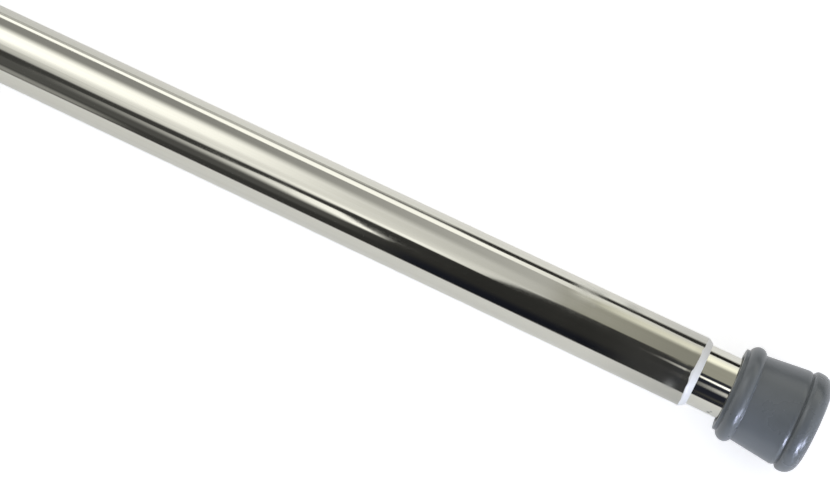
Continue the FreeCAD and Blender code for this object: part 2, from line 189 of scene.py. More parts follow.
def add_marks(tree, place, haze, radius, marks, roughness, bare, tint):
    """Lay marks on a tube. Each is its place along the rod, its angle up from the near horizon, its reach
    in millimetres, and how much roughness, dark and pale film it brings. The haze makes it ragged."""
    for along, angle, reach, dulls, darkens, films in marks:
        turned = math.radians(angle)
        middle = (along * MM, -radius * math.cos(turned) * MM, radius * math.sin(turned) * MM)
        away = add(
            tree, "ShaderNodeVectorMath", {0: place, 1: middle}, operation="DISTANCE"
        ).outputs["Value"]
        ragged = add(
            tree, "ShaderNodeMath", {0: haze, 1: reach * MM, 2: away}, operation="MULTIPLY_ADD"
        ).outputs[0]
        cover = add(
            tree,
            "ShaderNodeMapRange",
            {"Value": ragged, "From Min": 1.3 * reach * MM, "From Max": 0.5 * reach * MM},
            interpolation_type="SMOOTHSTEP",
        ).outputs[0]
        roughness = add(
            tree, "ShaderNodeMath", {0: cover, 1: dulls, 2: roughness}, operation="MULTIPLY_ADD"
        ).outputs[0]
        bare = add(
            tree, "ShaderNodeMath", {0: cover, 1: -films, 2: bare}, operation="MULTIPLY_ADD"
        ).outputs[0]
        share = add(tree, "ShaderNodeMath", {0: cover, 1: darkens}, operation="MULTIPLY").outputs[0]
        tint = add(
            tree, "ShaderNodeMix", {"Factor": share, "A": tint, "B": colour(DARKENING_TINT)}, data_type="RGBA"
        ).outputs["Result"]
    return roughness, bare, tint


def polished_stainless(name, radius, dark_end, marks, streak_turn=0.0):
    """Welded stainless tube, drawn and buffed along its length: a warm mirror with a faint lengthwise
    grain, a soft unevenness that makes long reflections waver, hazy patches from handling, an end that
    is darker and filmed in patches over its last centimetres, and a few marks."""
    material, tree = new_material(name)
    place = add(tree, "ShaderNodeTexCoord").outputs["Object"]
    # Buffing lines are about 0.05 mm apart; drawn 0.35 mm apart and 60 mm long so that they show
    lengthwise = add(
        tree,
        "ShaderNodeMapping",
        {"Vector": place, "Scale": (GRAIN_STRETCH, 1.0, 1.0), "Rotation": (streak_turn, 0.0, 0.0)},
    ).outputs[0]
    grain = add(
        tree,
        "ShaderNodeTexNoise",
        {"Vector": lengthwise, "Scale": per_mm(0.7), "Detail": 3.0, "Roughness": 0.6},
    ).outputs["Fac"]
    # The sheet's own waviness, some 14 mm across
    swell = add(
        tree, "ShaderNodeTexNoise", {"Vector": place, "Scale": per_mm(28.0), "Detail": 1.0, "Roughness": 0.4}
    ).outputs["Fac"]
    # Handling haze in patches of about 9 mm
    haze = add(
        tree,
        "ShaderNodeTexNoise",
        {"Vector": place, "Scale": per_mm(18.0), "Detail": 5.0, "Roughness": 0.65},
    ).outputs["Fac"]
    haze_amount = add(
        tree,
        "ShaderNodeMapRange",
        {"Value": haze, "From Min": 0.5, "From Max": 0.8, "To Min": 0.0, "To Max": 0.07},
    ).outputs[0]
    grain_amount = add(
        tree,
        "ShaderNodeMapRange",
        {"Value": grain, "From Min": 0.3, "From Max": 0.8, "To Min": 0.05, "To Max": 0.1},
    ).outputs[0]
    roughness = add(
        tree, "ShaderNodeMath", {0: haze_amount, 1: grain_amount}, operation="ADD"
    ).outputs[0]
    tint = add(
        tree,
        "ShaderNodeMix",
        {"Factor": grain, "A": colour("#D3D1C4"), "B": colour("#DEDDD2")},
        data_type="RGBA",
    ).outputs["Result"]
    # The tube is darkened, and filmed in patches, over the last centimetres before an end
    along_rod = add(tree, "ShaderNodeSeparateXYZ", {"Vector": place}).outputs["X"]
    end_share = add(
        tree,
        "ShaderNodeMapRange",
        {"Value": along_rod, "From Min": (dark_end - DARK_END_LENGTH) * MM, "From Max": dark_end * MM},
        interpolation_type="SMOOTHSTEP",
    ).outputs[0]
    end_dark_share = add(tree, "ShaderNodeMath", {0: end_share, 1: DARK_END_DEPTH}, operation="MULTIPLY").outputs[0]
    tint = add(
        tree, "ShaderNodeMix", {"Factor": end_dark_share, "A": tint, "B": colour(DARKENING_TINT)}, data_type="RGBA"
    ).outputs["Result"]
    end_film_patches = add(tree, "ShaderNodeMath", {0: end_share, 1: haze}, operation="MULTIPLY").outputs[0]
    bare = add(
        tree, "ShaderNodeMath", {0: end_film_patches, 1: -DARK_END_FILM, 2: 1.0}, operation="MULTIPLY_ADD"
    ).outputs[0]
    roughness, bare, tint = add_marks(tree, place, haze, radius, marks, roughness, bare, tint)
    bump = add(tree, "ShaderNodeBump", {"Height": grain, "Strength": 0.02, "Distance": 0.00002})
    waves = add(
        tree,
        "ShaderNodeBump",
        {"Height": swell, "Strength": 0.15, "Distance": 0.0001, "Normal": bump.outputs[0]},
    )
    shader = add(
        tree,
        "ShaderNodeBsdfPrincipled",
        {
            "Base Color": tint,
            "Metallic": bare,
            "Roughness": roughness,
            "Normal": waves.outputs[0],
        },
    )
    return close(material, shader)


def soft_pvc(name):
    """Dip-moulded flexible PVC: mid grey, glossy, with an orange-peel ripple and slightly cloudy colour."""
    material, tree = new_material(name)
    place = add(tree, "ShaderNodeTexCoord").outputs["Object"]
    # The pigment clouds over about 6 mm
    cloud = add(
        tree, "ShaderNodeTexNoise", {"Vector": place, "Scale": per_mm(12.0), "Detail": 4.0, "Roughness": 0.6}
    ).outputs["Fac"]
    # Orange peel about 1.5 mm across
    peel = add(
        tree, "ShaderNodeTexNoise", {"Vector": place, "Scale": per_mm(3.0), "Detail": 2.0, "Roughness": 0.5}
    ).outputs["Fac"]
    # Dust specks and moulding grain of about 0.2 mm, drawn 0.3 mm so that they show
    grain = add(
        tree, "ShaderNodeTexNoise", {"Vector": place, "Scale": per_mm(0.6), "Detail": 2.0, "Roughness": 0.6}
    ).outputs["Fac"]
    tint = add(
        tree,
        "ShaderNodeMix",
        {"Factor": cloud, "A": colour("#5B6062"), "B": colour("#696E71")},
        data_type="RGBA",
    )
    gloss = add(
        tree,
        "ShaderNodeMapRange",
        {"Value": cloud, "From Min": 0.2, "From Max": 0.8, "To Min": 0.24, "To Max": 0.34},
        interpolation_type="SMOOTHSTEP",
    ).outputs[0]
    fine = add(tree, "ShaderNodeBump", {"Height": grain, "Strength": 0.12, "Distance": 0.00003})
    ripple = add(
        tree,
        "ShaderNodeBump",
        {"Height": peel, "Strength": 0.25, "Distance": 0.00012, "Normal": fine.outputs[0]},
    )
    shader = add(
        tree,
        "ShaderNodeBsdfPrincipled",
        {
            "Base Color": tint.outputs["Result"],
            "Roughness": gloss,
            "Normal": ripple.outputs[0],
        },
    )
    shader.inputs["IOR"].default_value = 1.53
    return close(material, shader)


def white_polyethylene(name):
    """Injection-moulded polyethylene: waxy cool white with a satin face and faint flow clouds."""
    material, tree = new_material(name)
    place = add(tree, "ShaderNodeTexCoord").outputs["Object"]
    # Flow clouds of about 2.5 mm
    cloud = add(
        tree, "ShaderNodeTexNoise", {"Vector": place, "Scale": per_mm(5.0), "Detail": 4.0, "Roughness": 0.6}
    ).outputs["Fac"]
    # The mould's grain is about 0.1 mm, drawn 0.4 mm so that it shows
    grain = add(
        tree, "ShaderNodeTexNoise", {"Vector": place, "Scale": per_mm(0.8), "Detail": 2.0, "Roughness": 0.5}
    ).outputs["Fac"]
    tint = add(
        tree,
        "ShaderNodeMix",
        {"Factor": cloud, "A": colour("#DFDFDB"), "B": colour("#E8E8E4")},
        data_type="RGBA",
    )
    skin = add(tree, "ShaderNodeBump", {"Height": grain, "Strength": 0.2, "Distance": 0.00005})
    shader = add(
        tree,
        "ShaderNodeBsdfPrincipled",
        {"Base Color": tint.outputs["Result"], "Roughness": 0.42, "Normal": skin.outputs[0]},
    )
    shader.inputs["IOR"].default_value = 1.51
    return close(material, shader)


def zinc_plated_steel(name, dark, light):
    """Stamped or turned steel with bright zinc: a silvery, slightly cloudy metal."""
    material, tree = new_material(name)
    place = add(tree, "ShaderNodeTexCoord").outputs["Object"]
    # Zinc clouds of about 2 mm
    cloud = add(
        tree, "ShaderNodeTexNoise", {"Vector": place, "Scale": per_mm(4.0), "Detail": 5.0, "Roughness": 0.7}
    ).outputs["Fac"]
    # Tool marks are about 0.1 mm apart, drawn 0.25 mm apart so that they show
    tool = add(
        tree, "ShaderNodeTexNoise", {"Vector": place, "Scale": per_mm(0.5), "Detail": 2.0, "Roughness": 0.5}
    ).outputs["Fac"]
    tint = add(
        tree, "ShaderNodeMix", {"Factor": cloud, "A": colour(dark), "B": colour(light)}, data_type="RGBA"
    )
    gloss = add(
        tree,
        "ShaderNodeMapRange",
        {"Value": cloud, "From Min": 0.3, "From Max": 0.7, "To Min": 0.26, "To Max": 0.42},
    ).outputs[0]
    marks = add(tree, "ShaderNodeBump", {"Height": tool, "Strength": 0.15, "Distance": 0.00004})
    shader = add(
        tree,
        "ShaderNodeBsdfPrincipled",
        {
            "Base Color": tint.outputs["Result"],
            "Metallic": 1.0,
            "Roughness": gloss,
            "Normal": marks.outputs[0],
        },
    )
    return close(material, shader)


def natural_nylon(name):
    """Moulded natural nylon: creamy off-white, slightly cloudy, with a satin skin."""
    material, tree = new_material(name)
    place = add(tree, "ShaderNodeTexCoord").outputs["Object"]
    # Flow clouds of about 4 mm
    cloud = add(
        tree, "ShaderNodeTexNoise", {"Vector": place, "Scale": per_mm(8.0), "Detail": 4.0, "Roughness": 0.6}
    ).outputs["Fac"]
    # The mould's grain is about 0.1 mm, drawn 0.3 mm so that it shows
    skin_grain = add(
        tree, "ShaderNodeTexNoise", {"Vector": place, "Scale": per_mm(0.6), "Detail": 2.0, "Roughness": 0.5}
    ).outputs["Fac"]
    tint = add(
        tree,
        "ShaderNodeMix",
        {"Factor": cloud, "A": colour("#D9D2BD"), "B": colour("#E8E3D2")},
        data_type="RGBA",
    )
    skin = add(tree, "ShaderNodeBump", {"Height": skin_grain, "Strength": 0.2, "Distance": 0.00005})
    shader = add(
        tree,
        "ShaderNodeBsdfPrincipled",
        {"Base Color": tint.outputs["Result"], "Roughness": 0.45, "Normal": skin.outputs[0]},
    )
    shader.inputs["IOR"].default_value = 1.53
    return close(material, shader)


# Pieces


def finished(name, mesh_data, body, nodes, material):
    """Make a piece of a bmesh: its faces point outwards, and it rides on a body in place of CAD nodes."""
    bmesh.ops.remove_doubles(mesh_data, verts=mesh_data.verts, dist=DOUBLE)
    bmesh.ops.recalc_face_normals(mesh_data, faces=mesh_data.faces)
    mesh = bpy.data.meshes.new(name)
    mesh_data.to_mesh(mesh)
    mesh_data.free()
    mesh.shade_smooth()
    mesh.set_sharp_from_angle(angle=SHARP_ANGLE)
    mesh.materials.append(material)
    piece = bpy.data.objects.new(name, mesh)
    bpy.context.scene.collection.objects.link(piece)
    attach(piece, body)
    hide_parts(*nodes)
    return piece


def outline(corners, closed):
    """A bmesh with an upright outline, given as (x, radius) in millimetres."""
    mesh_data = bmesh.new()
    points = [mesh_data.verts.new((across * MM, 0.0, up * MM)) for across, up in corners]
    for first, second in zip(points, points[1:] + points[:1] if closed else points[1:]):
        mesh_data.edges.new((first, second))
    return mesh_data


def spin(mesh_data, around=AROUND):
    """Turn the outline all the way round the rod's axis."""
    bmesh.ops.spin(
        mesh_data,
        geom=list(mesh_data.verts) + list(mesh_data.edges),
        cent=(0.0, 0.0, 0.0),
        axis=(1.0, 0.0, 0.0),
        dvec=(0.0, 0.0, 0.0),
        angle=2 * math.pi,
        steps=around,
        use_merge=True,
        use_duplicate=False,
    )
    bmesh.ops.remove_doubles(mesh_data, verts=mesh_data.verts, dist=DOUBLE)


def radius_of(vertex):
    """How far a vertex is from the rod's axis, in metres."""
    return math.hypot(vertex.co.y, vertex.co.z)


def round_ring(mesh_data, across, up, back, steps=ROUND_STEPS):
    """Round the ring of edges at one corner of the outline back by a distance, in millimetres."""
    ring = {
        vertex
        for vertex in mesh_data.verts
        if abs(vertex.co.x - across * MM) < NEAR and abs(radius_of(vertex) - up * MM) < NEAR
    }
    edges = [edge for edge in mesh_data.edges if edge.verts[0] in ring and edge.verts[1] in ring]
    bmesh.ops.bevel(
        mesh_data,
        geom=edges,
        offset=back * MM,
        offset_type="OFFSET",
        segments=steps,
        profile=0.5,
        affect="EDGES",
        clamp_overlap=False,
        material=-1,
    )


def bevelled_outline(corners):
    """A solid turned from (x, radius, round) corners about the axis, with those rings rounded."""
    mesh_data = outline([(across, up) for across, up, _ in corners], closed=corners[0][1] > 0)
    spin(mesh_data)
    for across, up, back in corners:
        if back > 0:
            round_ring(mesh_data, across, up, back)
    return mesh_data


def tube(name, start, end, radius, bore, body, node, material, flare=0.0):
    """A drawn tube: smooth rings along its length, so that its reflections run straight.

    A collar pressed into its end flares the last few millimetres a little.
    """
    lip = radius + flare
    guard = radius + flare * (1 - FLARE_GUARD / FLARE_LENGTH)
    corners = [
        (start, bore),
        (start, radius),
        (end - FLARE_LENGTH - FLARE_GUARD, radius),
        (end - FLARE_LENGTH, radius),
        (end - FLARE_GUARD, guard),
        (end, lip),
        (end, bore),
    ]
    mesh_data = outline(corners, closed=True)
    long_edges = [edge for edge in mesh_data.edges if edge.calc_length() > 2 * FLARE_LENGTH * MM]
    bmesh.ops.subdivide_edges(mesh_data, edges=long_edges, cuts=TUBE_CUTS)
    spin(mesh_data)
    for place, up in ((start, radius), (end, lip)):
        round_ring(mesh_data, place, up, EDGE_ROUND, TUBE_EDGE_STEPS)
        round_ring(mesh_data, place, bore, EDGE_ROUND / 2, TUBE_BORE_STEPS)
    return finished(name, mesh_data, body, [node], material)


def foot(name, wall_face, facing, tube_radius, grip_gap, body, node, material, lean=0.0):
    """A moulded foot, with its wall face at a place and its mouth facing along the rod.

    A foot pushed on a little crooked leans, while its wall face stays square.
    """
    grip = tube_radius + grip_gap
    corners = [(x, 0.0 if up is None else tube_radius + up, back) for x, up, back in FOOT_OUTLINE]
    corners += [(FOOT_TAPER_END, grip, 0.0), (FOOT_FLOOR, grip, 0.0), (FOOT_FLOOR, 0.0, 0.0)]
    mesh_data = bevelled_outline(corners)
    for vertex in mesh_data.verts:
        share = min(1.0, vertex.co.x / (CROOKED_FROM * MM))
        vertex.co.x -= lean * vertex.co.y * share
    if facing < 0:
        bmesh.ops.rotate(mesh_data, verts=mesh_data.verts, matrix=Matrix.Rotation(math.pi, 3, "Z"))
    bmesh.ops.translate(mesh_data, verts=mesh_data.verts, vec=(wall_face * MM, 0.0, 0.0))
    return finished(name, mesh_data, body, [node], material)


# The collar's rounded shoulder, and its foot on the tube's rim
SHOULDER = MOUTH + 0.3
SHOULDER_RADIUS = 10.93
SHOULDER_ROUND = 0.5
RIM_RADIUS = 10.75
TIP_ROUND = 0.08
TIP_BORE_ROUND = 0.06

# Thin flash from the mould has crept over the tube's rim. Where it creeps furthest: the angle up from
# the near horizon in degrees, how far it creeps in millimetres, and how wide it is in degrees
FLASH = [
    (78.0, 0.42, 34.0),
    (112.0, 0.35, 4.0),
    (73.0, 0.35, 5.0),
    (64.0, 0.30, 4.0),
    (44.0, 0.18, 7.0),
    (30.0, 0.12, 5.0),
]
FLASH_EDGE = MOUTH - 0.14
FLASH_RADIUS = 11.05
RAGGED = 0.12
RAGGED_LEAST = -0.4
RAGGED_WAVES = 0.35


def collar(material):
    """The collar: a sleeve in the wide tube, and a nose with ragged flash round the tube's rim."""
    sleeve_radius = OUTER_BORE - SEAT_GAP
    corners = [
        (COLLAR_START, COLLAR_BORE, 0.0),
        (COLLAR_TIP, COLLAR_BORE, TIP_BORE_ROUND),
        (COLLAR_TIP, COLLAR_BORE + COLLAR_TIP_WALL, TIP_ROUND),
        (SHOULDER, SHOULDER_RADIUS, SHOULDER_ROUND),
        (FLASH_EDGE, FLASH_RADIUS, 0.0),
        (MOUTH, RIM_RADIUS, 0.0),
        (MOUTH, sleeve_radius, 0.0),
        (COLLAR_START, sleeve_radius, 0.0),
    ]
    mesh_data = bevelled_outline(corners)
    for vertex in mesh_data.verts:
        if abs(vertex.co.x - FLASH_EDGE * MM) < NEAR and radius_of(vertex) > OUTER_RADIUS * MM:
            angle = math.degrees(math.atan2(vertex.co.z, -vertex.co.y))
            broad = noise.noise(Vector((angle * RAGGED_WAVES, 7.0, 0.0)))
            fine = noise.noise(Vector((angle, 3.0, 0.0)))
            creep = RAGGED * max(broad + 0.5 * fine, RAGGED_LEAST)
            for middle, reach, width in FLASH:
                creep += reach * math.exp(-(((angle - middle) / width) ** 2))
            vertex.co.x -= creep * MM
    return finished("collar_moulded", mesh_data, "wide_tube", ["guide_collar"], material)


def coil(material):
    """The compression spring: round wire wound open, with its ends ground flat."""
    mesh_data = bmesh.new()
    wire = bmesh.ops.create_circle(
        mesh_data, cap_ends=False, segments=WIRE_SIDES, radius=WIRE_RADIUS * MM
    )["verts"]
    bmesh.ops.rotate(mesh_data, verts=wire, matrix=Matrix.Rotation(math.pi / 2, 3, "X"))
    pitch = (SPRING_END - SPRING_START) / SPRING_TURNS * MM
    steps = SPRING_TURNS * STEPS_A_TURN
    middle = (SPRING_RADIUS - WIRE_RADIUS) * MM
    bmesh.ops.translate(mesh_data, verts=wire, vec=(SPRING_START * MM, 0.0, middle))
    bmesh.ops.spin(
        mesh_data,
        geom=list(mesh_data.verts) + list(mesh_data.edges),
        cent=(0.0, 0.0, 0.0),
        axis=(1.0, 0.0, 0.0),
        dvec=(pitch * SPRING_TURNS / steps, 0.0, 0.0),
        angle=2 * math.pi * SPRING_TURNS,
        steps=steps,
        use_merge=False,
        use_duplicate=False,
    )
    for place, outwards in ((SPRING_START, -1.0), (SPRING_END, 1.0)):
        bmesh.ops.bisect_plane(
            mesh_data,
            geom=list(mesh_data.verts) + list(mesh_data.edges) + list(mesh_data.faces),
            plane_co=(place * MM, 0.0, 0.0),
            plane_no=(outwards, 0.0, 0.0),
            clear_outer=True,
        )
        rim = [edge for edge in mesh_data.edges if edge.is_boundary]
        bmesh.ops.holes_fill(mesh_data, edges=rim, sides=0)
    piece = finished(
        "tension_spring_coil", mesh_data, "narrow_tube", ["tension_spring"], material
    )
    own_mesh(piece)
    return piece


# The materials and the pieces they go on. The marks are scuffs, a thumb's smear and a tick by the foot
WIDE_MARKS = [
    (331.0, 121.0, 8.5, 0.10, 0.0, 0.70),
    (335.0, 132.0, 6.0, 0.10, 0.15, 0.15),
    (335.0, 101.0, 1.8, 0.15, 0.18, 0.0),
    (345.5, 134.0, 5.0, 0.10, 0.22, 0.0),
    (364.5, 40.0, 4.0, 0.14, 0.0, 0.14),
]
NARROW_MARKS = [(378.3, 5.5, 1.3, 0.2, 0.92, 0.0), (378.9, 13.0, 0.8, 0.2, 0.7, 0.0)]
NARROW_STREAKS = 1.1
steel = polished_stainless("polished_stainless_wide", OUTER_RADIUS, MOUTH, WIDE_MARKS)
# The narrow tube isn't darkened, so its darkened end starts where the tube stops
steel_narrow = polished_stainless(
    "polished_stainless_narrow",
    INNER_RADIUS,
    INNER_END + DARK_END_LENGTH,
    NARROW_MARKS,
    streak_turn=NARROW_STREAKS,
)
pvc = soft_pvc("soft_grey_pvc")
polyethylene = white_polyethylene("white_polyethylene")
zinc = zinc_plated_steel("zinc_plated_steel", "#A9AAAA", "#C4C5C4")
spring_wire = zinc_plated_steel("drawn_spring_wire", "#5E5D5B", "#7B7A78")
casting = zinc_plated_steel("die_cast_zinc", "#8B8C8F", "#A2A3A5")
nylon = natural_nylon("natural_nylon")

tube(
    "wide_tube_polished",
    OUTER_START,
    MOUTH,
    OUTER_RADIUS,
    OUTER_BORE,
    "wide_tube",
    "outer_tube",
    steel,
    flare=MOUTH_FLARE,
)
tube(
    "narrow_tube_polished",
    INNER_START,
    INNER_END,
    INNER_RADIUS,
    INNER_BORE,
    "narrow_tube",
    "inner_tube",
    steel_narrow,
)
foot("wide_foot_moulded", 0.0, 1, OUTER_RADIUS, SEAT_GAP, "wide_tube", "outer_foot", pvc)
foot(
    "narrow_foot_moulded",
    NARROW_WALL_FACE,
    -1,
    INNER_RADIUS,
    TURNING_GAP,
    "narrow_foot",
    "inner_foot",
    pvc,
    lean=CROOKED_SEAT,
)
collar(polyethylene)
coil(spring_wire)

NODE_MATERIALS = {
    "outer_foot_disc": zinc,
    "inner_foot_disc": zinc,
    "bush_pin_front": zinc,
    "bush_pin_back": zinc,
    "bush_seat_washer": zinc,
    "hub_seat_washer": zinc,
    "plunger_rod": zinc,
    "stop_washer": zinc,
    "stop_nut": zinc,
    "hub_pin": zinc,
    "cam_washer": zinc,
    "cam_screw": zinc,
    "cam_hub": casting,
    "spindle_bush": nylon,
    "cam_ring": nylon,
}
for node_name, material in NODE_MATERIALS.items():
    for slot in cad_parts[node_name].material_slots:
        slot.material = material


# Camera, at the photograph's angle. Its lens is in millimetres. The middle of the wide tube's mouth lies
# this far right of, above and in front of it, in metres

FOCAL_LENGTH = 83.15
SENSOR_WIDTH = 36.0
NEAREST_SEEN = 0.01
CAMERA_TURN = math.radians(26.25)
CAMERA_HEIGHT = math.radians(73.7)
AIM = Vector((MOUTH * MM, 0.0, 0.0))
AIM_RIGHT = 0.08236
AIM_UP = -0.03567
AIM_DEPTH = 0.567

right = Vector((math.cos(CAMERA_TURN), math.sin(CAMERA_TURN), 0.0))
forward = Vector(
    (
        -math.sin(CAMERA_TURN) * math.cos(CAMERA_HEIGHT),
        math.cos(CAMERA_TURN) * math.cos(CAMERA_HEIGHT),
        -math.sin(CAMERA_HEIGHT),
    )
)
up = right.cross(forward)
camera_data = bpy.data.cameras.new("camera")
camera_data.lens = FOCAL_LENGTH
camera_data.sensor_width = SENSOR_WIDTH
camera_data.clip_start = NEAREST_SEEN
camera = bpy.data.objects.new("camera", camera_data)
bpy.context.scene.collection.objects.link(camera)
camera.location = AIM - AIM_RIGHT * right - AIM_UP * up - AIM_DEPTH * forward
camera.rotation_mode = "QUATERNION"
camera.rotation_quaternion = Matrix((right, up, -forward)).transposed().to_quaternion()
bpy.context.scene.camera = camera


# Floor, light and the panels that the polished metal mirrors

# The table, in metres: its middle under the rod, where it darkens in the metal on either side of the
# rod, and how far from the rod its near side turns into its far side
FLOOR_HEIGHT = -(OUTER_RADIUS + FOOT_END_HEIGHT) * MM
FLOOR_HALF = 6.0
FLOOR_MIDDLE = 0.2
TABLE_FADES_FROM = 0.21
TABLE_ENDS = 0.39
SIDES_MEET = 0.03

# How much light the table adds: to the eye, and in the metal on its near side and on its far side,
# which brightens between two places along the rod
GLOW_TO_EYE = 0.5
NEAR_GLOW = 0.14
FAR_GLOW_LEFT = 0.12
FAR_GLOW_RIGHT = 0.30
FAR_GLOW_FROM = 0.11
FAR_GLOW_TO = 0.22

# The light past the table's ends, which only the metal mirrors
BEYOND_NEAR = 0.04
BEYOND_FAR = 0.5


def floor():
    """A white table that stays white to the eye, and keeps the rod's shadow."""
    mesh_data = bmesh.new()
    bmesh.ops.create_grid(mesh_data, x_segments=1, y_segments=1, size=FLOOR_HALF)
    bmesh.ops.translate(mesh_data, verts=mesh_data.verts, vec=(FLOOR_MIDDLE, 0.0, FLOOR_HEIGHT))
    mesh = bpy.data.meshes.new("floor")
    mesh_data.to_mesh(mesh)
    mesh_data.free()
    material, tree = new_material("white_table")
    seen = add(tree, "ShaderNodeLightPath").outputs
    place = add(tree, "ShaderNodeTexCoord").outputs["Object"]
    places = add(tree, "ShaderNodeSeparateXYZ", {"Vector": place}).outputs
    across = places["Y"]
    glow = add(
        tree, "ShaderNodeMath", {0: seen["Is Camera Ray"], 1: GLOW_TO_EYE}, operation="MULTIPLY"
    ).outputs[0]
    # The metal mirrors the far side of the table brighter than the near side, and brightest at the right
    far_side = add(
        tree,
        "ShaderNodeMapRange",
        {
            "Value": places["X"],
            "From Min": FAR_GLOW_FROM,
            "From Max": FAR_GLOW_TO,
            "To Min": FAR_GLOW_LEFT,
            "To Max": FAR_GLOW_RIGHT,
        },
    ).outputs[0]
    mirrored_glow = add(
        tree,
        "ShaderNodeMapRange",
        {
            "Value": across,
            "From Min": -SIDES_MEET,
            "From Max": SIDES_MEET,
            "To Min": NEAR_GLOW,
            "To Max": far_side,
        },
    ).outputs[0]
    all_glow = add(
        tree,
        "ShaderNodeMath",
        {0: seen["Is Glossy Ray"], 1: mirrored_glow, 2: glow},
        operation="MULTIPLY_ADD",
    ).outputs[0]
    lit = add(tree, "ShaderNodeBsdfDiffuse", {"Color": colour("#F2F2F2")})
    glowing = add(tree, "ShaderNodeEmission", {"Color": colour("#FFFFFF"), "Strength": all_glow})
    white = add(tree, "ShaderNodeAddShader", {0: lit.outputs[0], 1: glowing.outputs[0]})
    # In the metal the table goes dark some way off the rod, where it ends
    distance = add(tree, "ShaderNodeMath", {0: across}, operation="ABSOLUTE").outputs[0]
    off = add(
        tree,
        "ShaderNodeMapRange",
        {"Value": distance, "From Min": TABLE_FADES_FROM, "From Max": TABLE_ENDS},
        interpolation_type="SMOOTHSTEP",
    ).outputs[0]
    dark = add(tree, "ShaderNodeMath", {0: off, 1: seen["Is Glossy Ray"]}, operation="MULTIPLY").outputs[0]
    # The near end of the table is in the dark, the far one in half light
    half_light = add(
        tree,
        "ShaderNodeMapRange",
        {
            "Value": across,
            "From Min": -SIDES_MEET,
            "From Max": SIDES_MEET,
            "To Min": BEYOND_NEAR,
            "To Max": BEYOND_FAR,
        },
    ).outputs[0]
    beyond = add(tree, "ShaderNodeEmission", {"Color": colour("#FFFFFF"), "Strength": half_light})
    close(
        material,
        add(tree, "ShaderNodeMixShader", {"Fac": dark, 1: white.outputs[0], 2: beyond.outputs[0]}),
    )
    mesh.materials.append(material)
    table = bpy.data.objects.new("floor", mesh)
    bpy.context.scene.collection.objects.link(table)


